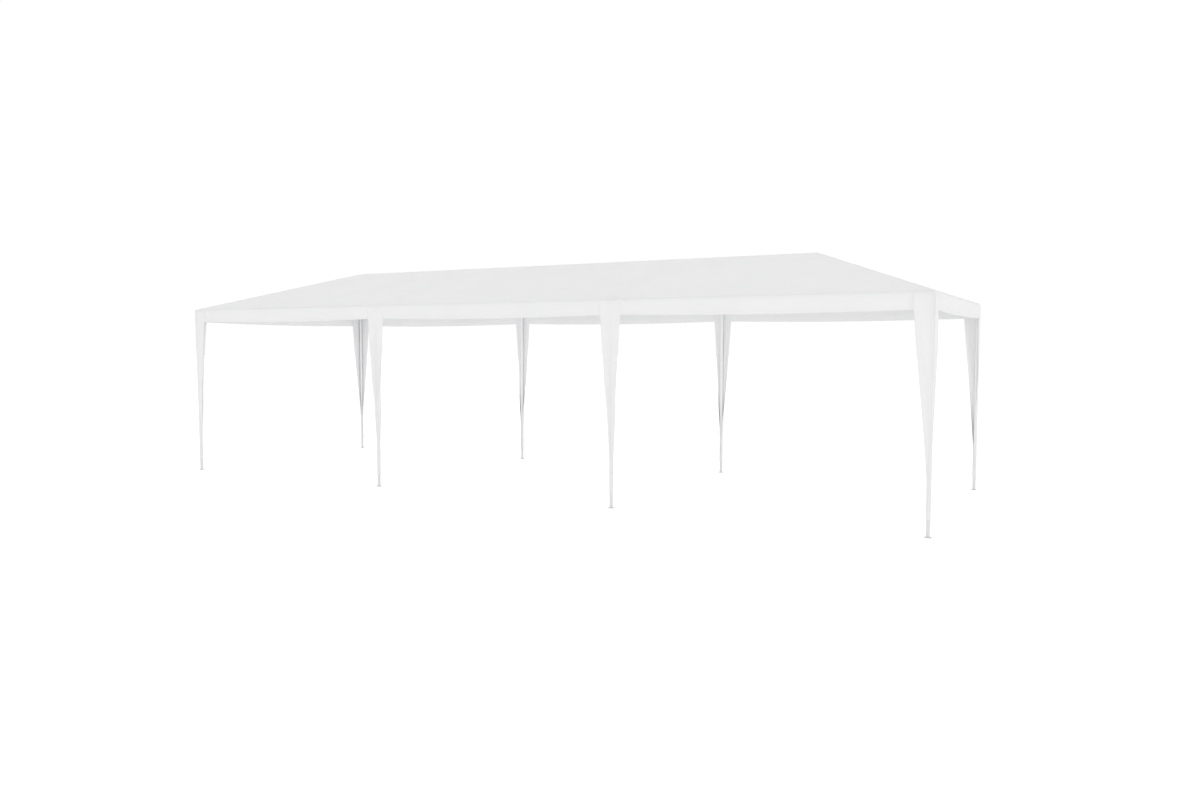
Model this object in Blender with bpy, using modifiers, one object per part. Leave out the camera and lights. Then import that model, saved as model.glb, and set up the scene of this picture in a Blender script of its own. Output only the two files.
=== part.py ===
"""Marquee tent: a white fabric canopy with a hipped roof on a frame of painted steel tube.

Metres, +Z up. The origin is on the ground at the centre of the plan. +X runs along the length
and +Y from the front to the back.
"""
import math

import bmesh
import bpy
from mathutils import Vector

# Outer size of the fabric
LENGTH = 9.0
WIDTH = 3.0
EAVE_HEIGHT = 2.05
RIDGE_HEIGHT = 2.55
RIDGE_INSET = 1.40
VALANCE_DROP = 0.16
FABRIC = 0.003

# Steel tube frame
BAYS = 3
TUBE_RADIUS = 0.016
SOCKET_RADIUS = 0.019
SOCKET_REACH = 0.10
HUB_RADIUS = 0.020
TUBE_SIDES = 16
HUB_RINGS = 8

# Foot plates
FOOT_SIDE = 0.060
FOOT_THICKNESS = 0.004
FOOT_CORNER = 0.006
FOOT_CORNER_STEPS = 2
PEG_HOLE_RADIUS = 0.005
PEG_HOLE_OFFSET = 0.021

# Fabric sleeves that taper from the valance down each leg
MID_SLEEVE_TOP = 0.22
CORNER_SLEEVE_TOP = 0.17
SLEEVE_FOOT_WIDTH = 0.046
TAPER_END_HEIGHT = 0.46
SLEEVE_FOOT_HEIGHT = 0.14

# Clearance between pieces that touch
GAP = 0.0003

# Corners closer than this are one corner, and edges sharper than this are shaded as edges
WELD_DISTANCE = 0.0001
SHARP_ANGLE = math.radians(40)

# Derived places
HALF_LENGTH = LENGTH / 2
HALF_WIDTH = WIDTH / 2
ROOF_RISE = RIDGE_HEIGHT - EAVE_HEIGHT
SIDE_SLOPE = ROOF_RISE / HALF_WIDTH
END_SLOPE = ROOF_RISE / RIDGE_INSET
SIDE_COS = 1 / math.hypot(1, SIDE_SLOPE)
END_COS = 1 / math.hypot(1, END_SLOPE)
FRAME_INSET = FABRIC + GAP + HUB_RADIUS
LEG_X = HALF_LENGTH - FRAME_INSET
LEG_Y = HALF_WIDTH - FRAME_INSET
VALANCE_FOOT = EAVE_HEIGHT - VALANCE_DROP
# Depth of the frame's centre lines under the outer face of the roof, square to the slope
FRAME_DEPTH = FABRIC + GAP + HUB_RADIUS
EAVE_Z = min(
    EAVE_HEIGHT + FRAME_INSET * SIDE_SLOPE - FRAME_DEPTH / SIDE_COS,
    EAVE_HEIGHT + FRAME_INSET * END_SLOPE - FRAME_DEPTH / END_COS,
)
RIDGE_Z = RIDGE_HEIGHT - FRAME_DEPTH / SIDE_COS
RIDGE_X = HALF_LENGTH - (RIDGE_Z + FRAME_DEPTH / END_COS - EAVE_HEIGHT) / END_SLOPE
LEG_XS = [LEG_X * (2 * i / BAYS - 1) for i in range(BAYS + 1)]
UP = Vector((0, 0, 1))
SIDES = {"front": -1, "back": 1}
ENDS = {"left": -1, "right": 1}


def clear_scene():
    for obj in list(bpy.data.objects):
        bpy.data.objects.remove(obj, do_unlink=True)


def collection(name):
    made = bpy.data.collections.new(name)
    bpy.context.scene.collection.children.link(made)
    return made


def material(name, colour, roughness, metallic):
    made = bpy.data.materials.new(name)
    made.use_nodes = True
    shader = made.node_tree.nodes["Principled BSDF"]
    shader.inputs["Base Color"].default_value = (*colour, 1.0)
    shader.inputs["Roughness"].default_value = roughness
    shader.inputs["Metallic"].default_value = metallic
    made.diffuse_color = (*colour, 1.0)
    return made


clear_scene()
PARTS = collection("marquee_tent")
CUTTERS = collection("cutters")
WHITE_FABRIC = material("white_fabric", (0.90, 0.90, 0.91), 0.55, 0.0)
WHITE_STEEL = material("white_painted_steel", (0.80, 0.81, 0.82), 0.38, 0.0)


def add_object(name, mesh, finish, where=PARTS):
    obj = bpy.data.objects.new(name, mesh)
    where.objects.link(obj)
    obj.data.materials.clear()
    obj.data.materials.append(finish)
    return obj


def bar_mesh(name, start, end, radius):
    """A round bar between two points, with flat ends."""
    start, end = Vector(start), Vector(end)
    run = end - start
    bm = bmesh.new()
    bmesh.ops.create_cone(
        bm, cap_ends=True, segments=TUBE_SIDES, radius1=radius, radius2=radius,
        depth=run.length,
    )
    turn = run.to_track_quat("Z", "Y").to_matrix().to_4x4()
    turn.translation = (start + end) / 2
    bm.transform(turn)
    mesh = bpy.data.meshes.new(name)
    bm.to_mesh(mesh)
    bm.free()
    return mesh


def round_off(mesh):
    mesh.shade_smooth()
    mesh.set_sharp_from_angle(angle=SHARP_ANGLE)


def tube(name, start, end):
    """A frame tube whose ends stand in the sockets at start and end."""
    start, end = Vector(start), Vector(end)
    along = (end - start).normalized() * (SOCKET_REACH + GAP)
    mesh = bar_mesh(name, start + along, end - along, TUBE_RADIUS)
    round_off(mesh)
    return add_object(name, mesh, WHITE_STEEL)


def boolean(target, others, operation):
    """Join others to target or cut them from it, and leave one plain mesh."""
    for other in others:
        cut = target.modifiers.new(other.name, "BOOLEAN")
        cut.operation = operation
        cut.object = other
        cut.solver = "EXACT"
    bpy.context.view_layer.update()
    graph = bpy.context.evaluated_depsgraph_get()
    mesh = bpy.data.meshes.new_from_object(target.evaluated_get(graph))
    target.modifiers.clear()
    target.data = mesh
    for other in others:
        bpy.data.objects.remove(other, do_unlink=True)
    round_off(mesh)
    return target


def hub_ball(name, centre):
    bm = bmesh.new()
    bmesh.ops.create_uvsphere(bm, u_segments=TUBE_SIDES, v_segments=HUB_RINGS, radius=HUB_RADIUS)
    bmesh.ops.translate(bm, verts=bm.verts, vec=centre)
    mesh = bpy.data.meshes.new(name)
    bm.to_mesh(mesh)
    bm.free()
    return mesh


def connector(name, centre, arms, through=()):
    """A welded fitting: a socket towards each neighbour, on a straight run or on a round hub."""
    centre = Vector(centre)

    def reach(neighbour):
        return centre + (Vector(neighbour) - centre).normalized() * SOCKET_REACH

    if through:
        core = bar_mesh(name, reach(through[0]), reach(through[1]), SOCKET_RADIUS)
    else:
        core = hub_ball(name, centre)
    body = add_object(name, core, WHITE_STEEL)
    sockets = []
    for i, neighbour in enumerate(arms):
        socket = bar_mesh(f"{name}_socket_{i}", centre, reach(neighbour), SOCKET_RADIUS)
        sockets.append(add_object(socket.name, socket, WHITE_STEEL, CUTTERS))
    return boolean(body, sockets, "UNION")


def leg(name, x, y):
    """A leg tube on its welded foot plate, with two peg holes in the plate."""
    bm = bmesh.new()
    bmesh.ops.create_cube(bm, size=1.0)
    bmesh.ops.scale(bm, vec=(FOOT_SIDE, FOOT_SIDE, FOOT_THICKNESS), verts=bm.verts)
    bmesh.ops.translate(bm, vec=(x, y, FOOT_THICKNESS / 2), verts=bm.verts)
    upright = [e for e in bm.edges if abs((e.verts[0].co - e.verts[1].co).z) > FOOT_THICKNESS / 2]
    bmesh.ops.bevel(
        bm, geom=upright, offset=FOOT_CORNER, segments=FOOT_CORNER_STEPS, affect="EDGES", profile=0.5,
    )
    mesh = bpy.data.meshes.new(name)
    bm.to_mesh(mesh)
    bm.free()
    plate = add_object(name, mesh, WHITE_STEEL)

    top = EAVE_Z - SOCKET_REACH - GAP
    upright_mesh = bar_mesh(f"{name}_tube", (x, y, FOOT_THICKNESS / 2), (x, y, top), TUBE_RADIUS)
    upright_bar = add_object(upright_mesh.name, upright_mesh, WHITE_STEEL, CUTTERS)
    boolean(plate, [upright_bar], "UNION")

    holes = []
    for sign in (-1, 1):
        hx = x + sign * PEG_HOLE_OFFSET
        hy = y + sign * PEG_HOLE_OFFSET
        hole_mesh = bar_mesh(
            f"{name}_peg_{sign}", (hx, hy, -FOOT_THICKNESS), (hx, hy, 2 * FOOT_THICKNESS),
            PEG_HOLE_RADIUS,
        )
        hole = add_object(hole_mesh.name, hole_mesh, WHITE_STEEL, CUTTERS)
        hole.hide_render = True
        hole.display_type = "WIRE"
        holes.append(hole)
    return boolean(plate, holes, "DIFFERENCE")


def cloth_panel(name, faces, outward):
    """A sewn panel: an open surface on the fabric's outer face, thickened inwards."""
    bm = bmesh.new()
    for corners in faces:
        bm.faces.new([bm.verts.new(c) for c in corners])
    bmesh.ops.remove_doubles(bm, verts=bm.verts, dist=WELD_DISTANCE)
    bmesh.ops.recalc_face_normals(bm, faces=bm.faces)
    bm.faces.ensure_lookup_table()
    if bm.faces[0].normal.dot(Vector(outward)) < 0:
        bmesh.ops.reverse_faces(bm, faces=bm.faces)
    mesh = bpy.data.meshes.new(name)
    bm.to_mesh(mesh)
    bm.free()
    panel = add_object(name, mesh, WHITE_FABRIC)
    thick = panel.modifiers.new("thickness", "SOLIDIFY")
    thick.thickness = FABRIC
    thick.offset = -1.0
    thick.use_even_offset = True
    return panel


def roof_panels():
    """Two long slopes and two hip ends, each stopping short of the seams it shares."""
    # A panel's inner face leans over the seam by its thickness times the slope's sine
    ridge_back = FABRIC * SIDE_SLOPE * SIDE_COS + GAP / 2
    hip_back = FABRIC * math.hypot(SIDE_SLOPE * SIDE_COS, END_SLOPE * END_COS) + GAP
    hip_run = math.hypot(HALF_WIDTH, RIDGE_INSET)
    along_eave = hip_back * hip_run / HALF_WIDTH
    across_end = hip_back * hip_run / RIDGE_INSET
    for side, sign in SIDES.items():
        eave_x = HALF_LENGTH - along_eave
        ridge_x = HALF_LENGTH - RIDGE_INSET - along_eave + ridge_back * RIDGE_INSET / HALF_WIDTH
        low = sign * HALF_WIDTH
        high = sign * ridge_back
        z_low = EAVE_HEIGHT
        z_high = EAVE_HEIGHT + (HALF_WIDTH - ridge_back) * SIDE_SLOPE
        outline = [(-eave_x, low, z_low), (eave_x, low, z_low), (ridge_x, high, z_high),
                   (-ridge_x, high, z_high)]
        cloth_panel(f"roof_panel_{side}", [outline], (0, sign * SIDE_SLOPE, 1))
    for end, sign in ENDS.items():
        eave_y = HALF_WIDTH - across_end
        x_top = HALF_LENGTH - eave_y * RIDGE_INSET / HALF_WIDTH
        z_top = EAVE_HEIGHT + (HALF_LENGTH - x_top) * END_SLOPE
        outline = [(sign * HALF_LENGTH, -eave_y, EAVE_HEIGHT), (sign * HALF_LENGTH, eave_y, EAVE_HEIGHT),
                   (sign * x_top, 0, z_top)]
        cloth_panel(f"roof_panel_{end}", [outline], (sign * END_SLOPE, 0, 1))


def valances():
    """The upright strip of fabric that hangs from the eaves on all four sides."""
    top = EAVE_HEIGHT - FABRIC / min(SIDE_COS, END_COS) - 2 * GAP
    for side, sign in SIDES.items():
        y = sign * HALF_WIDTH
        x = HALF_LENGTH
        outline = [(-x, y, VALANCE_FOOT), (x, y, VALANCE_FOOT), (x, y, top), (-x, y, top)]
        cloth_panel(f"valance_{side}", [outline], (0, sign, 0))
    for end, sign in ENDS.items():
        x = sign * HALF_LENGTH
        y = HALF_WIDTH - FABRIC - GAP
        outline = [(x, -y, VALANCE_FOOT), (x, y, VALANCE_FOOT), (x, y, top), (x, -y, top)]
        cloth_panel(f"valance_{end}", [outline], (sign, 0, 0))


def sleeve_levels(top_width):
    """Width of a sleeve at its top, where its taper ends, and at its foot."""
    return [
        (VALANCE_FOOT - GAP, top_width),
        (TAPER_END_HEIGHT, SLEEVE_FOOT_WIDTH),
        (SLEEVE_FOOT_HEIGHT, SLEEVE_FOOT_WIDTH),
    ]


def mid_sleeve(name, x, sign):
    """A flat sleeve in the plane of the valance, centred on its leg."""
    y = sign * HALF_WIDTH
    levels = sleeve_levels(MID_SLEEVE_TOP)
    left = [(x - width / 2, y, z) for z, width in levels]
    right = [(x + width / 2, y, z) for z, width in reversed(levels)]
    cloth_panel(name, [left + right], (0, sign, 0))


def corner_sleeve(name, end_sign, side_sign):
    """An angled sleeve: a tapered flap on each of the two faces that meet at the corner."""
    x = end_sign * HALF_LENGTH
    y = side_sign * HALF_WIDTH
    levels = sleeve_levels(CORNER_SLEEVE_TOP)
    faces = []
    for (z_high, w_high), (z_low, w_low) in zip(levels, levels[1:]):
        faces.append([(x, y, z_high), (x, y, z_low),
                      (x - end_sign * w_low, y, z_low), (x - end_sign * w_high, y, z_high)])
        faces.append([(x, y, z_low), (x, y, z_high),
                      (x, y - side_sign * w_high, z_high), (x, y - side_sign * w_low, z_low)])
    cloth_panel(name, faces, (0, side_sign, 0))


def legs_and_sleeves():
    for side, sign in SIDES.items():
        for i, x in enumerate(LEG_XS):
            leg(f"leg_{side}_{i + 1}", x, sign * LEG_Y)
            if i in (0, BAYS):
                corner_sleeve(f"sleeve_{side}_{i + 1}", math.copysign(1, x), sign)
            else:
                mid_sleeve(f"sleeve_{side}_{i + 1}", x, sign)


def eave_frame():
    """Rails between the leg heads, and the fittings that carry them."""
    for side, sign in SIDES.items():
        heads = [Vector((x, sign * LEG_Y, EAVE_Z)) for x in LEG_XS]
        for i in range(BAYS):
            tube(f"eave_rail_{side}_{i + 1}", heads[i], heads[i + 1])
        for i in range(1, BAYS):
            down = heads[i] - UP
            ridge = (heads[i].x, 0, RIDGE_Z)
            run = (heads[i - 1], heads[i + 1])
            connector(f"leg_head_{side}_{i + 1}", heads[i], [down, ridge], run)
            tube(f"mid_rafter_{side}_{i}", heads[i], ridge)
    for end, sign in ENDS.items():
        front = Vector((sign * LEG_X, -LEG_Y, EAVE_Z))
        back = Vector((sign * LEG_X, LEG_Y, EAVE_Z))
        peak = (sign * RIDGE_X, 0, RIDGE_Z)
        tube(f"end_rail_{end}", front, back)
        for side, corner, other in (("front", front, back), ("back", back, front)):
            inward = corner - Vector((sign, 0, 0))
            down = corner - UP
            connector(f"corner_head_{side}_{end}", corner, [inward, other, down, peak])
            tube(f"hip_rafter_{side}_{end}", corner, peak)


def ridge_frame():
    """The ridge poles and the fittings where the rafters meet them."""
    ends = [Vector((sign * RIDGE_X, 0, RIDGE_Z)) for sign in (-1, 1)]
    mids = [Vector((x, 0, RIDGE_Z)) for x in LEG_XS[1:-1]]
    stops = [ends[0], *mids, ends[1]]
    for i in range(len(stops) - 1):
        tube(f"ridge_pole_{i + 1}", stops[i], stops[i + 1])
    for i, peak in enumerate(mids):
        eaves = [(peak.x, sign * LEG_Y, EAVE_Z) for sign in (-1, 1)]
        connector(f"ridge_joint_{i + 2}", peak, eaves, (stops[i], stops[i + 2]))
    neighbours = {"left": stops[1], "right": stops[-2]}
    for end, sign in ENDS.items():
        peak = (sign * RIDGE_X, 0, RIDGE_Z)
        corners = [(sign * LEG_X, y, EAVE_Z) for y in (-LEG_Y, LEG_Y)]
        connector(f"ridge_end_{end}", peak, [neighbours[end], *corners])


legs_and_sleeves()
eave_frame()
ridge_frame()
roof_panels()
valances()
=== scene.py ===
import math

import bmesh
import bpy
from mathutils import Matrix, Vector, noise


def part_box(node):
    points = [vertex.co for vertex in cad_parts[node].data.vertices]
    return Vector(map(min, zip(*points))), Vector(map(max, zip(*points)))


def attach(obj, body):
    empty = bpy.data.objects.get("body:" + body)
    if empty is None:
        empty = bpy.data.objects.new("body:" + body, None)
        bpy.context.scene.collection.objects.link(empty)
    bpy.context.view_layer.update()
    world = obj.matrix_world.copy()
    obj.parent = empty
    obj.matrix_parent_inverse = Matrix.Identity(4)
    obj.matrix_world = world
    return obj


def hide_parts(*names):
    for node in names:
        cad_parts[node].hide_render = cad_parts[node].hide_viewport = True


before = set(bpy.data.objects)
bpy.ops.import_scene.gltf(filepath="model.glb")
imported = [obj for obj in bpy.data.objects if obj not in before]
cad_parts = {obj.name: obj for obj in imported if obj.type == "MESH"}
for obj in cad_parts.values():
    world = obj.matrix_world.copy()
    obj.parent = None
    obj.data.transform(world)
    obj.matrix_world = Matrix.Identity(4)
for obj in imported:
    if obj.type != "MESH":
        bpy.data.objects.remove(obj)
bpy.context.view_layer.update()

# Places read from the frame
VALANCE_LOW, VALANCE_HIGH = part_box("valance_front")
HALF_LENGTH = VALANCE_HIGH[0]
HALF_WIDTH = -VALANCE_LOW[1]
VALANCE_FOOT = VALANCE_LOW[2]
CORNER_LEG_LOW, CORNER_LEG_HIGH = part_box("leg_front_4")
LEG_X = (CORNER_LEG_LOW[0] + CORNER_LEG_HIGH[0]) / 2
MID_LOW, MID_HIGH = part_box("leg_front_3")
MID_X = (MID_LOW[0] + MID_HIGH[0]) / 2
MID_SLEEVE_LOW, MID_SLEEVE_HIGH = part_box("sleeve_front_3")
CORNER_SLEEVE_LOW, CORNER_SLEEVE_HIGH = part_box("sleeve_front_4")
MID_SLEEVE_HALF = (MID_SLEEVE_HIGH[0] - MID_SLEEVE_LOW[0]) / 2
CORNER_SLEEVE_SPAN = CORNER_SLEEVE_HIGH[0] - CORNER_SLEEVE_LOW[0]
SLEEVE_FOOT = MID_SLEEVE_LOW[2]

# Roof planes
EAVE_HEIGHT = 2.05
RIDGE_HEIGHT = 2.55
RIDGE_INSET = 1.40
SIDE_SLOPE = (RIDGE_HEIGHT - EAVE_HEIGHT) / HALF_WIDTH
END_SLOPE = (RIDGE_HEIGHT - EAVE_HEIGHT) / RIDGE_INSET
RIDGE_X = HALF_LENGTH - RIDGE_INSET

# Cloth of the roof
CLOTH = 0.0012
FOLD_SOFTNESS = 0.0015
ROOF_SAG = 0.034
SAG_REACH = 0.30
EAVE_ROUND = 0.012
FAN_FOLDS = 13
FAN_DEPTH = 0.0045
FAN_REACH = 0.55
BROAD_WAVE = 0.9
BROAD_WAVE_DEPTH = 0.006
FINE_WAVE = 0.28
FINE_WAVE_DEPTH = 0.0025

# Valance
HEM = 0.024
HEM_RAISE = 0.0009
HEM_LIFT = 0.008
HEM_SAG = 0.020
HEM_FOLD = 0.003
HEM_EDGE = 0.004
EAVE_DROP = 0.006
VALANCE_TUCK = 0.004
VALANCE_WAVE = 0.55
VALANCE_WAVE_DEPTH = 0.009
VALANCE_RIPPLE = 0.16
VALANCE_RIPPLE_DEPTH = 0.003

# Sleeves
SLEEVE_RAISE = 0.0018
SEAM_EDGE = 0.0015
SIDE_HEM_SHARE = 0.89
SIDE_HEM_RAISE = 0.0008
FOOT_HEM = 0.020
FOOT_HEM_GAP = 0.002
TAPER_END = 0.46
TAPER_CURVE = 1.15
WRAP_START = 0.35
WRAP_RADIUS = 0.0195
MID_WRAP = math.radians(177)
CORNER_WRAP = math.radians(133)
CORNER_RADIUS = 0.003
CRUMPLE_DEPTH = 0.0065
CRUMPLE_EASED = 0.85
FRAME_INSET = HALF_LENGTH - LEG_X

# Mesh steps
MID_STEPS = 19
CORNER_STEPS = 20
OPEN_STEP = 0.055
ROOF_ROWS = 22
ROOF_TOP_SHARE = 0.065
ROOF_BODY_SHARE = 0.87
VALANCE_ROWS = 4
SLEEVE_ROWS = 60
LEVEL_MARGIN = 0.0001
WELD_DISTANCE = 0.00012

# Foot plates
PLATE_THICKNESS = 0.004
WELD_RADIUS = 0.0165
WELD_BEAD = 0.0024
WELD_SCALLOPS = 26
WELD_SCALLOP_DEPTH = 0.035


def add_mesh(name, mesh, smooth=True):
    obj = bpy.data.objects.new(name, mesh)
    bpy.context.scene.collection.objects.link(obj)
    if smooth:
        mesh.shade_smooth()
    return obj


def smoothstep(x):
    x = max(0.0, min(1.0, x))
    return x * x * (3 - 2 * x)


def ripple(x, y, scale, seed):
    return noise.noise(Vector((x / scale, y / scale, seed)))


# Roof surface
def segment_distance(x, y, ax, ay, bx, by):
    dx, dy = bx - ax, by - ay
    t = ((x - ax) * dx + (y - ay) * dy) / (dx * dx + dy * dy)
    t = max(0.0, min(1.0, t))
    return math.hypot(x - ax - t * dx, y - ay - t * dy)


# The legs pull the cloth, and the tubes hold it up along these lines
SIGNS = [(sx, sy) for sx in (-1, 1) for sy in (-1, 1)]
PULLS = [(sx * x, sy * HALF_WIDTH) for x in (MID_X, HALF_LENGTH) for sx, sy in SIGNS]
SUPPORTS = [(-RIDGE_X, 0, RIDGE_X, 0)]
SUPPORTS += [(sx * HALF_LENGTH, sy * HALF_WIDTH, sx * RIDGE_X, 0) for sx, sy in SIGNS]
SUPPORTS += [(sx * MID_X, sy * HALF_WIDTH, sx * MID_X, 0) for sx, sy in SIGNS]
SUPPORTS += [(-HALF_LENGTH, sy * HALF_WIDTH, HALF_LENGTH, sy * HALF_WIDTH) for sy in (-1, 1)]
SUPPORTS += [(sx * HALF_LENGTH, -HALF_WIDTH, sx * HALF_LENGTH, HALF_WIDTH) for sx in (-1, 1)]


def looseness(x, y):
    """0 where the cloth lies on a tube, towards 1 in the middle of a panel."""
    free = 1.0
    for support in SUPPORTS:
        free *= 1 - math.exp(-segment_distance(x, y, *support) / SAG_REACH)
    return free


def roof_height(x, y):
    """The four planes, softly joined, with sag, folds that fan from the legs, and waves."""
    planes = [
        EAVE_HEIGHT + (HALF_WIDTH + y) * SIDE_SLOPE,
        EAVE_HEIGHT + (HALF_WIDTH - y) * SIDE_SLOPE,
        EAVE_HEIGHT + (HALF_LENGTH + x) * END_SLOPE,
        EAVE_HEIGHT + (HALF_LENGTH - x) * END_SLOPE,
    ]
    low = min(planes)
    total = sum(math.exp(-(p - low) / FOLD_SOFTNESS) for p in planes)
    height = low - FOLD_SOFTNESS * math.log(total)
    free = looseness(x, y)
    height -= ROOF_SAG * free
    for px, py in PULLS:
        away = math.hypot(x - px, y - py)
        fan = math.sin(FAN_FOLDS * math.atan2(y - py, x - px) + px)
        height += FAN_DEPTH * free * math.exp(-away / FAN_REACH) * fan
    broad = BROAD_WAVE_DEPTH * ripple(x, y, BROAD_WAVE, 3.1)
    fine = FINE_WAVE_DEPTH * ripple(x, y, FINE_WAVE, 7.7)
    height += free * (broad + fine)
    return height


# The four faces of the cover, in order round the plan
class Face:
    def __init__(self, name, origin, along, normal, half, mids):
        self.name = name
        self.origin = Vector(origin)
        self.along = Vector(along)
        self.normal = Vector(normal)
        self.half = half
        self.mids = mids

    def plan(self, t, inward=0.0):
        return self.origin + self.along * t - self.normal * inward

    def legs(self):
        return [-self.half, *self.mids, self.half]


FACES = [
    Face("front", (0, -HALF_WIDTH), (1, 0), (0, -1), HALF_LENGTH, [-MID_X, MID_X]),
    Face("right", (HALF_LENGTH, 0), (0, 1), (1, 0), HALF_WIDTH, []),
    Face("back", (0, HALF_WIDTH), (-1, 0), (0, 1), HALF_LENGTH, [-MID_X, MID_X]),
    Face("left", (-HALF_LENGTH, 0), (0, -1), (-1, 0), HALF_WIDTH, []),
]


# Valance surface
def slack(face, t):
    """0 at a leg, 1 halfway between two legs."""
    legs = face.legs()
    for left, right in zip(legs, legs[1:]):
        if t <= right:
            return max(0.0, 4 * (t - left) * (right - t) / (right - left) ** 2)
    return 0.0


def hem_height(face, t):
    return VALANCE_FOOT + HEM_LIFT - HEM_SAG * slack(face, t)


def valance_point(face, t, z):
    """A point on the outside of the valance."""
    drop = (EAVE_HEIGHT - z) / (EAVE_HEIGHT - VALANCE_FOOT)
    free = slack(face, t)
    place = face.plan(t)
    wave = VALANCE_WAVE_DEPTH * ripple(t, 0.4 * z, VALANCE_WAVE, 11.0 + len(face.name))
    wave += VALANCE_RIPPLE_DEPTH * ripple(t, z, VALANCE_RIPPLE, 5.0)
    inward = free * smoothstep(drop) * (VALANCE_TUCK + wave)
    place -= face.normal * inward
    return Vector((place.x, place.y, z))


# Sleeve surface
def sleeve_state(z, top):
    """How far the sleeve has tapered and wrapped round its leg at a height."""
    tau = min(1.0, max(0.0, (top - z) / (top - TAPER_END)))
    narrowing = (1 - tau) ** TAPER_CURVE
    wrap = smoothstep((tau - WRAP_START) / (1 - WRAP_START))
    offset = FRAME_INSET + (WRAP_RADIUS - FRAME_INSET) * smoothstep(tau)
    return tau, narrowing, wrap, offset


def sleeve_path(distance, flat, radius, corner=0.0):
    """Walk from the sleeve's middle: a rounded corner, a flat run, then a curl inwards."""
    bend = corner * math.pi / 4
    if distance < bend:
        turn = 1.25 * math.pi + distance / corner
        return corner + corner * math.cos(turn), corner + corner * math.sin(turn)
    run = corner + distance - bend
    if run <= flat:
        return run, 0.0
    turn = (run - flat) / radius
    return flat + radius * math.sin(turn), radius - radius * math.cos(turn)


def crumple(s, z, amount, seed):
    """Soft upright folds that drift sideways down the sleeve."""
    folds = ripple(2.2 * s, z, 0.55, seed) + 0.45 * ripple(5.5 * s, 0.6 * z, 0.33, seed + 4.0)
    drift = 2.4 * ripple(z, seed, 0.7, 2.0)
    folds += 0.22 * math.sin(11 * s + drift) + 0.14 * math.sin(19 * s - 1.7 * drift + seed)
    return amount * folds


def sleeve_hem(s, z):
    """Extra thickness of the folded hems down a sleeve's edges and round its foot."""
    side = abs(s) > SIDE_HEM_SHARE
    foot = z < SLEEVE_FOOT + FOOT_HEM + LEVEL_MARGIN
    return SIDE_HEM_RAISE if side or foot else 0.0


def crumple_depth(tau, wrap):
    """The folds start below the valance and flatten where the sleeve wraps its leg."""
    return CRUMPLE_DEPTH * smoothstep(4 * tau) * (1 - CRUMPLE_EASED * wrap)


def mid_sleeve_point(face, leg, s, z, top):
    """s runs from -1 to 1 across the sleeve."""
    tau, narrowing, wrap, offset = sleeve_state(z, top)
    turn = MID_WRAP * wrap
    half = offset + (MID_SLEEVE_HALF - offset) * narrowing
    flat = half - offset * math.sin(min(turn, math.pi / 2))
    length = flat + offset * turn
    a, b = sleeve_path(abs(s) * length, flat, offset)
    plane_shift = FRAME_INSET - offset
    push = crumple(s, z, crumple_depth(tau, wrap), 20.0 + leg)
    raised = SLEEVE_RAISE * (1 - smoothstep(3 * tau)) + sleeve_hem(s, z) * (1 - wrap)
    place = face.plan(leg + math.copysign(a, s), plane_shift + b + push - raised)
    return Vector((place.x, place.y, z))


def corner_sleeve_point(face, end, s, z, top):
    """s runs from 0 at the corner to 1 at the flap's free edge."""
    tau, narrowing, wrap, offset = sleeve_state(z, top)
    turn = CORNER_WRAP * wrap
    span = 2 * offset + (CORNER_SLEEVE_SPAN - 2 * offset) * narrowing
    flat = span - offset * math.sin(min(turn, math.pi / 2))
    rounding = CORNER_RADIUS + (offset - CORNER_RADIUS) * smoothstep(1.6 * (tau - 0.3))
    length = rounding * math.pi / 4 + (flat - rounding) + offset * turn
    a, b = sleeve_path(s * length, flat, offset, rounding)
    shift = FRAME_INSET - offset
    push = crumple(s, z, crumple_depth(tau, wrap) * smoothstep(3 * s), 40.0)
    shift -= SLEEVE_RAISE * (1 - smoothstep(3 * tau))
    raised = sleeve_hem(s, z) * (1 - wrap)
    place = face.plan(end * (face.half - shift - a), shift + b + push - raised)
    return Vector((place.x, place.y, z))


# The cover as columns of points, from the ridge down to the feet
def sleeve_spots(face):
    """Stations under the sleeves, and the seam edge just beside each sleeve."""
    result = []
    for leg in face.mids:
        for k in range(-MID_STEPS, MID_STEPS + 1):
            s = k / MID_STEPS
            result.append((leg + s * MID_SLEEVE_HALF, "mid", leg, s))
    for end in (-1, 1):
        for k in range(CORNER_STEPS + 1):
            s = k / CORNER_STEPS
            result.append((end * (face.half - s * CORNER_SLEEVE_SPAN), "corner", end, s))
    for leg in face.mids:
        for side in (-1, 1):
            result.append((leg + side * (MID_SLEEVE_HALF + SEAM_EDGE), "open", 0, 0.0))
    for end in (-1, 1):
        result.append((end * (face.half - CORNER_SLEEVE_SPAN - SEAM_EDGE), "open", 0, 0.0))
    return result


def columns(face):
    """Stations along a face: even spacing, and closer ones where a sleeve hangs."""
    result = sleeve_spots(face)
    count = int(2 * face.half / OPEN_STEP)
    clear = 0.4 * OPEN_STEP
    for k in range(count + 1):
        t = -face.half + 2 * face.half * k / count
        near_mid = any(abs(t - leg) < MID_SLEEVE_HALF + clear for leg in face.mids)
        near_end = face.half - abs(t) < CORNER_SLEEVE_SPAN + clear
        if not near_mid and not near_end:
            result.append((t, "open", 0, 0.0))
    result.sort(key=lambda r: r[0])
    return result


def roof_fractions():
    """Shares of the way from the ridge to the eave, closer together at both ends."""
    rows = [0.0, 0.006, 0.016, 0.035, ROOF_TOP_SHARE]
    rows += [ROOF_TOP_SHARE + ROOF_BODY_SHARE * k / ROOF_ROWS for k in range(1, ROOF_ROWS + 1)]
    rows += [0.965, 0.985]
    return rows


def ridge_point(face, t):
    if face.name in ("front", "back"):
        place = face.plan(t)
        return Vector((place.x * RIDGE_X / HALF_LENGTH, 0))
    return Vector((math.copysign(RIDGE_X, face.normal.x), 0))


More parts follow.
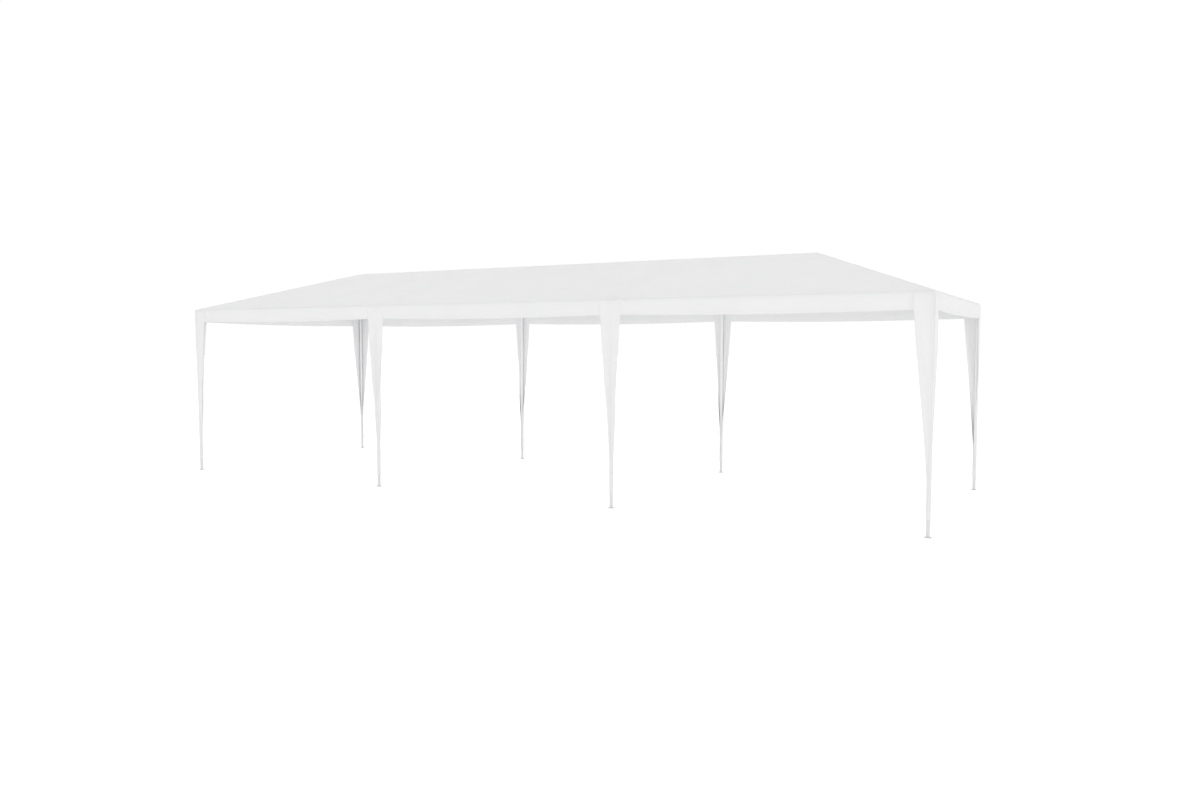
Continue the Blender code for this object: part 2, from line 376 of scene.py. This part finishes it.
def slope_points(face, station):
    """A column's points from the ridge to the rounded eave."""
    t, kind, where, s = station
    eave = face.plan(t)
    top = ridge_point(face, t)
    last = 1 - EAVE_ROUND / (eave - top).length
    points = []
    for share in roof_fractions():
        place = top.lerp(eave, share * last)
        points.append(Vector((place.x, place.y, roof_height(place.x, place.y))))
    edge = roof_height(eave.x, eave.y)
    for turn in (0.33, 0.66):
        angle = turn * math.pi / 2
        out = EAVE_ROUND * (1 - math.sin(angle))
        place = face.plan(t, out)
        if kind == "corner" and s == 0:
            place = eave - (eave - top).normalized() * out
        points.append(Vector((place.x, place.y, edge - EAVE_ROUND * (1 - math.cos(angle)))))
    return points


def valance_levels(foot):
    top = EAVE_HEIGHT - EAVE_ROUND - EAVE_DROP
    body = top - (foot + HEM + HEM_FOLD)
    levels = [top - body * k / VALANCE_ROWS for k in range(VALANCE_ROWS + 1)]
    return [*levels, foot + HEM, foot + HEM_EDGE, foot]


def valance_column(face, station, foot):
    """A column's points down the valance, with the hem or the sleeve's own layer on it."""
    t, kind, where, s = station
    out = Vector((*face.normal, 0))
    points = []
    for z in valance_levels(foot):
        point = valance_point(face, t, z)
        if kind == "open" and z <= foot + HEM + LEVEL_MARGIN:
            point += out * HEM_RAISE
        if kind != "open":
            point += out * SLEEVE_RAISE
        if kind == "corner" and s == 0:
            point += Vector((*face.along, 0)) * where * SLEEVE_RAISE
        points.append(point)
    return points


def sleeve_rows(foot):
    hem_top = SLEEVE_FOOT + FOOT_HEM
    body = hem_top + FOOT_HEM_GAP - foot
    rows = [foot + body * k / SLEEVE_ROWS for k in range(1, SLEEVE_ROWS + 1)]
    return [*rows, hem_top, SLEEVE_FOOT]


def sleeve_column(face, station, foot):
    t, kind, where, s = station
    point = mid_sleeve_point if kind == "mid" else corner_sleeve_point
    return [point(face, where, s, z, foot) for z in sleeve_rows(foot)]


def cover_net():
    """The points and faces of the slopes, valance and sleeves."""
    verts, faces = [], []

    def add_column(points):
        start = len(verts)
        verts.extend(tuple(point) for point in points)
        return start

    def join(a, b, count):
        for row in range(count - 1):
            faces.append((a + row, a + row + 1, b + row + 1, b + row))

    for face in FACES:
        previous = None
        for station in columns(face):
            foot = hem_height(face, station[0])
            points = slope_points(face, station) + valance_column(face, station, foot)
            start = add_column(points)
            if previous is not None:
                join(previous[0], start, len(points))
            below = None
            if station[1] != "open":
                below = add_column([points[-1], *sleeve_column(face, station, foot)])
                same = previous is not None and previous[2] is not None
                if same and previous[1][1:3] == station[1:3]:
                    join(previous[2], below, len(sleeve_rows(foot)) + 1)
            previous = (start, station, below)
    return verts, faces


def join_net(mesh):
    """Join the columns that meet, and turn the faces outwards."""
    bm = bmesh.new()
    bm.from_mesh(mesh)
    bmesh.ops.remove_doubles(bm, verts=bm.verts, dist=WELD_DISTANCE)
    loose = [v for v in bm.verts if not v.link_faces]
    bmesh.ops.delete(bm, geom=loose, context="VERTS")
    bmesh.ops.recalc_face_normals(bm, faces=bm.faces)
    bm.faces.ensure_lookup_table()
    highest = max(bm.faces, key=lambda f: f.calc_center_median().z)
    if highest.normal.z < 0:
        bmesh.ops.reverse_faces(bm, faces=bm.faces)
    bm.to_mesh(mesh)
    bm.free()


def build_cover():
    """The whole cover as one sheet: slopes, valance and sleeves."""
    verts, faces = cover_net()
    mesh = bpy.data.meshes.new("canopy_cover")
    mesh.from_pydata(verts, [], faces)
    join_net(mesh)
    cover = add_mesh("canopy_cover", mesh)
    thick = cover.modifiers.new("cloth", "SOLIDIFY")
    thick.thickness = CLOTH
    thick.offset = -1
    return cover


# Seams along the hips
SEAM_WIDTH = 0.018
SEAM_END_GAP = 0.02


def hip_line(sx, sy):
    """Where a hip's seam starts, its two directions in plan, and its length."""
    corner = Vector((sx * HALF_LENGTH, sy * HALF_WIDTH))
    peak = Vector((sx * RIDGE_X, 0))
    along = (peak - corner).normalized()
    across = Vector((-along.y, along.x))
    length = (peak - corner).length
    start = corner + along * (EAVE_ROUND + SEAM_END_GAP)
    return start, along, across, length - EAVE_ROUND - 2 * SEAM_END_GAP


# Stitching
STITCH_PITCH = 0.0085
STITCH_LENGTH = 0.0046
STITCH_WIDTH = 0.0011
STITCH_HEIGHT = 0.0006
STITCH_SINK = 0.3
STITCH_TAPER = 0.35
STITCH_SIDES = [(3, 2, 1, 0), (4, 5, 6, 7), (0, 1, 5, 4), (1, 2, 6, 5), (2, 3, 7, 6), (3, 0, 4, 7)]
HEM_STITCH_LIFTS = (HEM - 0.003, 0.005)
HEM_STITCH_GAP = 0.004
SLEEVE_STITCH_SHARE = 0.945
SLEEVE_STITCH_GAP = 0.003
VALANCE_STITCH_GAP = 0.010
AHEAD = 0.001
SLOPE_STEP = 0.004


class Stitches:
    """Rows of thread, each stitch a small tapered block on the cloth."""

    def __init__(self):
        self.verts = []
        self.faces = []

    def add(self, middle, along, out):
        along = along.normalized() * STITCH_LENGTH / 2
        across = out.cross(along).normalized() * STITCH_WIDTH / 2
        out = out.normalized() * STITCH_HEIGHT
        first = len(self.verts)
        for level in (0, 1):
            shrink = 1 - STITCH_TAPER * level
            base = middle + out * (level - STITCH_SINK)
            for a, c in ((-1, -1), (1, -1), (1, 1), (-1, 1)):
                self.verts.append(base + along * a * shrink + across * c * shrink)
        for side in STITCH_SIDES:
            self.faces.append(tuple(first + i for i in side))

    def follow(self, path, out_at, length):
        """Stitches along a path given by a function of the distance along it."""
        count = int(length / STITCH_PITCH)
        for k in range(count):
            d = (k + 0.5) * length / count
            here = path(d)
            self.add(here, path(d + AHEAD) - here, out_at(d))

    def build(self, name):
        mesh = bpy.data.meshes.new(name)
        mesh.from_pydata([tuple(v) for v in self.verts], [], self.faces)
        return add_mesh(name, mesh, smooth=False)


def open_runs(face):
    """The stretches of a face between its sleeves."""
    edges = [-face.half + CORNER_SLEEVE_SPAN]
    for leg in face.mids:
        edges += [leg - MID_SLEEVE_HALF, leg + MID_SLEEVE_HALF]
    edges.append(face.half - CORNER_SLEEVE_SPAN)
    return list(zip(edges[::2], edges[1::2]))


def hem_stitching():
    rows = Stitches()
    for face in FACES:
        out = Vector((*face.normal, 0))
        for left, right in open_runs(face):
            for lift in HEM_STITCH_LIFTS:
                def path(d, face=face, left=left, out=out, lift=lift):
                    t = left + HEM_STITCH_GAP + d
                    return valance_point(face, t, hem_height(face, t) + lift) + out * HEM_RAISE
                rows.follow(path, lambda d, out=out: out, right - left - 2 * HEM_STITCH_GAP)
    return rows.build("hem_stitching")


def stitch_valance(rows, face, t):
    """Stitches down the valance at a place along its face."""
    top = EAVE_HEIGHT - EAVE_ROUND - VALANCE_STITCH_GAP
    out = Vector((*face.normal, 0))

    def path(d):
        return valance_point(face, t, top - d) + out * SLEEVE_RAISE

    rows.follow(path, lambda d: out, top - hem_height(face, t))


def stitch_sleeve(rows, point, top, share, turn):
    """Stitches down a sleeve; turn is 1 or -1, so that they face outwards."""
    start = top - SLEEVE_STITCH_GAP

    def path(d):
        return point(share, start - d)

    def out_at(d):
        z = start - d
        sideways = (point(share + SLOPE_STEP, z) - point(share - SLOPE_STEP, z)) * turn
        upwards = point(share, z + SLOPE_STEP) - point(share, z - SLOPE_STEP)
        out = sideways.cross(upwards)
        return out if out.length > 0 else Vector((1, 0, 0))

    rows.follow(path, out_at, top - SLEEVE_FOOT - 2 * SLEEVE_STITCH_GAP)


def stitch_mid_sleeve(rows, face, leg, side):
    share = side * SLEEVE_STITCH_SHARE
    t = leg + share * MID_SLEEVE_HALF
    top = hem_height(face, t)

    def point(s, z):
        return mid_sleeve_point(face, leg, s, z, top)

    stitch_valance(rows, face, t)
    stitch_sleeve(rows, point, top, share, 1)


def stitch_corner_sleeve(rows, face, end):
    t = end * (face.half - SLEEVE_STITCH_SHARE * CORNER_SLEEVE_SPAN)
    top = hem_height(face, t)

    def point(s, z):
        return corner_sleeve_point(face, end, s, z, top)

    stitch_valance(rows, face, t)
    stitch_sleeve(rows, point, top, SLEEVE_STITCH_SHARE, -end)


def sleeve_stitching():
    rows = Stitches()
    for face in FACES:
        for leg in face.mids:
            for side in (-1, 1):
                stitch_mid_sleeve(rows, face, leg, side)
        for end in (-1, 1):
            stitch_corner_sleeve(rows, face, end)
    return rows.build("sleeve_stitching")


def hip_stitching():
    rows = Stitches()
    for sx, sy in SIGNS:
        start, along, across, length = hip_line(sx, sy)
        for side in (-1, 1):
            def path(d, start=start, along=along, across=across, side=side):
                spot = start + along * d + across * side * SEAM_WIDTH / 2
                return Vector((spot.x, spot.y, roof_height(spot.x, spot.y)))
            rows.follow(path, lambda d: Vector((0, 0, 1)), length)
    return rows.build("hip_stitching")


# Weld beads where a leg meets its foot plate
def build_weld(name, x, y):
    """A scalloped bead round the tube, on the foot plate."""
    bpy.ops.mesh.primitive_torus_add(
        location=(x, y, PLATE_THICKNESS),
        major_radius=WELD_RADIUS,
        minor_radius=WELD_BEAD,
        major_segments=72,
        minor_segments=8,
    )
    bead = bpy.context.object
    bead.name = name
    for vert in bead.data.vertices:
        angle = math.atan2(vert.co.y, vert.co.x)
        swell = 1 + WELD_SCALLOP_DEPTH * math.sin(WELD_SCALLOPS * angle)
        vert.co.x *= swell
        vert.co.y *= swell
    bead.data.shade_smooth()
    return bead


# Materials
CLOTH_COLOUR = (0.79, 0.79, 0.795)
CLOTH_DARK = (0.780, 0.781, 0.788)
CLOTH_LIGHT = (0.800, 0.800, 0.803)
TRANSLUCENCY = 0.15
LIGHT_REACH = 0.006
CLOUD_SCALE = 1.7
GRAIN_SCALE = 60.0
FOLD_SCALE = 2.6
CREASE_SCALE = 24.0
WEAVE_SCALE = 140.0

TUBE_COLOUR = (0.85, 0.86, 0.87)
FITTING_COLOUR = (0.82, 0.83, 0.84)
# Painted shade on the tubes and fittings: the coat darkens by this share near the ground, fading
# out between these two heights
PAINTED_FOOT_SHADE = 0.80
PAINTED_SHADE_BELOW = 0.10
UNSHADED_ABOVE = 0.50
PATCH_SCALE = 5.0
SCUFF_SCALE = 38.0
PEEL_SCALE = 420.0

THREAD_COLOUR = (0.80, 0.80, 0.80)
THREAD_DARK = (0.70, 0.70, 0.70)
THREAD_LIGHT = (0.84, 0.84, 0.84)
STRAND_SCALE = 900.0

FLOOR_COLOUR = (0.45, 0.45, 0.45)
WHITE = (1, 1, 1, 1)


def new_material(name, colour, roughness):
    made = bpy.data.materials.new(name)
    made.use_nodes = True
    tree = made.node_tree
    shader = tree.nodes["Principled BSDF"]
    shader.inputs["Base Color"].default_value = (*colour, 1)
    shader.inputs["Roughness"].default_value = roughness
    return made, tree, shader


def math_node(tree, operation, a, b=None):
    node = tree.nodes.new("ShaderNodeMath")
    node.operation = operation
    for socket, value in zip(node.inputs, (a, b)):
        if value is None:
            continue
        if isinstance(value, (int, float)):
            socket.default_value = value
        else:
            tree.links.new(value, socket)
    return node.outputs[0]


def noise_node(tree, where, scale, detail=4.0, rough=0.55):
    node = tree.nodes.new("ShaderNodeTexNoise")
    node.inputs["Scale"].default_value = scale
    node.inputs["Detail"].default_value = detail
    node.inputs["Roughness"].default_value = rough
    tree.links.new(where, node.inputs["Vector"])
    return node.outputs["Fac"]


def ramp_node(tree, value, low, high, at=(0.0, 1.0)):
    node = tree.nodes.new("ShaderNodeValToRGB")
    node.color_ramp.elements[0].position = at[0]
    node.color_ramp.elements[1].position = at[1]
    node.color_ramp.elements[0].color = (*low, 1)
    node.color_ramp.elements[1].color = (*high, 1)
    tree.links.new(value, node.inputs["Fac"])
    return node.outputs["Color"]


def range_node(tree, value, low, high, span=(0.0, 1.0)):
    node = tree.nodes.new("ShaderNodeMapRange")
    node.inputs["From Min"].default_value = span[0]
    node.inputs["From Max"].default_value = span[1]
    node.inputs["To Min"].default_value = low
    node.inputs["To Max"].default_value = high
    tree.links.new(value, node.inputs["Value"])
    return node.outputs["Result"]


def bump_chain(tree, shader, layers):
    """Stack heights, each given as (height socket, distance in metres, strength)."""
    normal = None
    for height, distance, strength in layers:
        bump = tree.nodes.new("ShaderNodeBump")
        bump.inputs["Distance"].default_value = distance
        bump.inputs["Strength"].default_value = strength
        tree.links.new(height, bump.inputs["Height"])
        if normal is not None:
            tree.links.new(normal, bump.inputs["Normal"])
        normal = bump.outputs["Normal"]
    tree.links.new(normal, shader.inputs["Normal"])


def wave_node(tree, where, scale, direction):
    node = tree.nodes.new("ShaderNodeTexWave")
    node.wave_type = "BANDS"
    node.bands_direction = direction
    node.inputs["Scale"].default_value = scale
    tree.links.new(where, node.inputs["Vector"])
    return node.outputs["Fac"]


def object_place(tree):
    return tree.nodes.new("ShaderNodeTexCoord").outputs["Object"]


def split_axes(tree, vector):
    node = tree.nodes.new("ShaderNodeSeparateXYZ")
    tree.links.new(vector, node.inputs[0])
    return node.outputs


def weave_height(tree, where):
    """Bands along each axis, faded where the cloth faces that axis."""
    normal = split_axes(tree, tree.nodes.new("ShaderNodeNewGeometry").outputs["Normal"])
    weave = 0.0
    for axis in "XYZ":
        across = math_node(tree, "SUBTRACT", 1.0, math_node(tree, "ABSOLUTE", normal[axis]))
        tapes = math_node(tree, "MULTIPLY", wave_node(tree, where, WEAVE_SCALE, axis), across)
        weave = math_node(tree, "ADD", weave, tapes)
    return weave


def cloth_material():
    """Coated woven polyethylene: a fine tape weave under a satin film."""
    made, tree, shader = new_material("white_coated_cloth", CLOTH_COLOUR, 0.50)
    where = object_place(tree)
    cloud = noise_node(tree, where, CLOUD_SCALE, 5.0)
    grain = noise_node(tree, where, GRAIN_SCALE, 3.0)
    tint = ramp_node(tree, cloud, CLOTH_DARK, CLOTH_LIGHT, (0.3, 0.7))
    tree.links.new(tint, shader.inputs["Base Color"])
    tree.links.new(range_node(tree, grain, 0.40, 0.54), shader.inputs["Roughness"])
    shader.inputs["Sheen Weight"].default_value = 0.08
    shader.inputs["Subsurface Weight"].default_value = TRANSLUCENCY
    shader.inputs["Subsurface Radius"].default_value = (1.0, 1.0, 1.0)
    shader.inputs["Subsurface Scale"].default_value = LIGHT_REACH
    folds = noise_node(tree, where, FOLD_SCALE, 2.0, 0.4)
    creases = noise_node(tree, where, CREASE_SCALE, 5.0, 0.6)
    weave = weave_height(tree, where)
    bump_chain(tree, shader, [(folds, 0.05, 0.5), (creases, 0.004, 0.5), (weave, 0.0004, 0.4)])
    return made


def steel_material(name, colour):
    """White powder coat over steel: faint orange peel and scuffs, with painted shade that darkens
    it towards the ground.
    """
    made, tree, shader = new_material(name, colour, 0.36)
    where = object_place(tree)
    patches = noise_node(tree, where, PATCH_SCALE, 6.0, 0.6)
    scuff = noise_node(tree, where, SCUFF_SCALE, 8.0, 0.7)
    # Painted shade: the coat darkens towards the ground, and noise makes the edge of the shade
    # patchy
    height = split_axes(tree, where)["Z"]
    level = math_node(tree, "ADD", height, range_node(tree, patches, -0.2, 0.2))
    painted_shade = tuple(PAINTED_FOOT_SHADE * c for c in colour)
    tint = ramp_node(tree, level, painted_shade, colour, (PAINTED_SHADE_BELOW, UNSHADED_ABOVE))
    tree.links.new(tint, shader.inputs["Base Color"])
    tree.links.new(range_node(tree, scuff, 0.28, 0.50), shader.inputs["Roughness"])
    peel = noise_node(tree, where, PEEL_SCALE, 2.0)
    bump_chain(tree, shader, [(peel, 0.0003, 0.4), (scuff, 0.0002, 0.25)])
    return made


def thread_material():
    """White polyester thread, twisted."""
    made, tree, shader = new_material("white_thread", THREAD_COLOUR, 0.6)
    strands = noise_node(tree, object_place(tree), STRAND_SCALE, 2.0)
    tint = ramp_node(tree, strands, THREAD_DARK, THREAD_LIGHT, (0.35, 0.65))
    tree.links.new(tint, shader.inputs["Base Color"])
    shader.inputs["Sheen Weight"].default_value = 0.3
    bump_chain(tree, shader, [(strands, 0.0002, 0.6)])
    return made


CLOTH_MATERIAL = cloth_material()
THREAD_MATERIAL = thread_material()
TUBE_MATERIAL = steel_material("white_tube_coat", TUBE_COLOUR)
FITTING_MATERIAL = steel_material("white_fitting_coat", FITTING_COLOUR)


def place(piece, material, slot_name):
    piece.data.materials.clear()
    piece.data.materials.append(material)
    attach(piece, "root")
    return piece


# Pieces
COVER_NODES = [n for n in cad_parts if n.startswith(("roof_panel", "valance", "sleeve"))]
cover = build_cover()
place(cover, CLOTH_MATERIAL, "white_fabric")
trim = [hem_stitching(), sleeve_stitching(), hip_stitching()]
for piece in trim:
    place(piece, THREAD_MATERIAL, "white_fabric")
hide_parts(*COVER_NODES)

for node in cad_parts:
    if node in COVER_NODES:
        continue
    fitting = node.startswith(("corner_head", "leg_head", "ridge_joint", "ridge_end"))
    for slot in bpy.data.objects[node].material_slots:
        slot.material = FITTING_MATERIAL if fitting else TUBE_MATERIAL

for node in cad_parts:
    if not node.startswith("leg_") or node.startswith("leg_head"):
        continue
    low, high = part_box(node)
    middle = (low + high) / 2
    weld = build_weld(f"{node}_weld", middle.x, middle.y)
    place(weld, FITTING_MATERIAL, "white_painted_steel")


# Floor, light and camera
FLOOR_SIZE = 240
FLOOR_GLOW = 0.66
HORIZON_LIGHT = 1.01
OVERHEAD_LIGHT = 0.94
FADE_BETWEEN = (0.36, 0.80)
LAMP_PLACE = (14.0, -12.0, 6.0)
LAMP_TARGET = (1.0, 0, 1.5)
LAMP_SIZE = 3.0
LAMP_POWER = 100
CAMERA_PLACE = (5.786, -9.579, 1.602)
CAMERA_YAW = 0.4993
CAMERA_PITCH = -0.0584
FOCAL_PIXELS = 939.0
PHOTO_WIDTH = 1200
SENSOR = 36.0
CLIP_END = 500


def build_floor():
    bpy.ops.mesh.primitive_plane_add(size=FLOOR_SIZE)
    floor = bpy.context.object
    floor.name = "floor"
    made, tree, shader = new_material("pale_floor", FLOOR_COLOUR, 0.80)
    shader.inputs["Emission Color"].default_value = WHITE
    shader.inputs["Emission Strength"].default_value = FLOOR_GLOW
    floor.data.materials.append(made)


def build_world():
    """An even white studio, a little brighter low down than overhead."""
    world = bpy.data.worlds.new("studio")
    bpy.context.scene.world = world
    world.use_nodes = True
    tree = world.node_tree
    sky = tree.nodes["Background"]
    upwards = split_axes(tree, tree.nodes.new("ShaderNodeTexCoord").outputs["Generated"])["Z"]
    level = range_node(tree, upwards, HORIZON_LIGHT, OVERHEAD_LIGHT, FADE_BETWEEN)
    tree.links.new(level, sky.inputs["Strength"])
    sky.inputs["Color"].default_value = WHITE


def build_lamp():
    """One soft lamp, in front and to the right."""
    data = bpy.data.lights.new("key_soft", "AREA")
    data.shape = "DISK"
    data.size = LAMP_SIZE
    data.energy = LAMP_POWER
    lamp = bpy.data.objects.new("key_soft", data)
    lamp.location = LAMP_PLACE
    aim = Vector(LAMP_TARGET) - Vector(LAMP_PLACE)
    lamp.rotation_euler = aim.to_track_quat("-Z", "Y").to_euler()
    bpy.context.scene.collection.objects.link(lamp)


def build_camera():
    data = bpy.data.cameras.new("camera")
    data.sensor_width = SENSOR
    data.lens = FOCAL_PIXELS * SENSOR / PHOTO_WIDTH
    data.clip_end = CLIP_END
    camera = bpy.data.objects.new("camera", data)
    camera.location = CAMERA_PLACE
    camera.rotation_euler = (math.pi / 2 + CAMERA_PITCH, 0, CAMERA_YAW)
    bpy.context.scene.collection.objects.link(camera)
    bpy.context.scene.camera = camera


build_floor()
build_world()
build_lamp()
build_camera()
bpy.context.scene.view_settings.view_transform = "Standard"
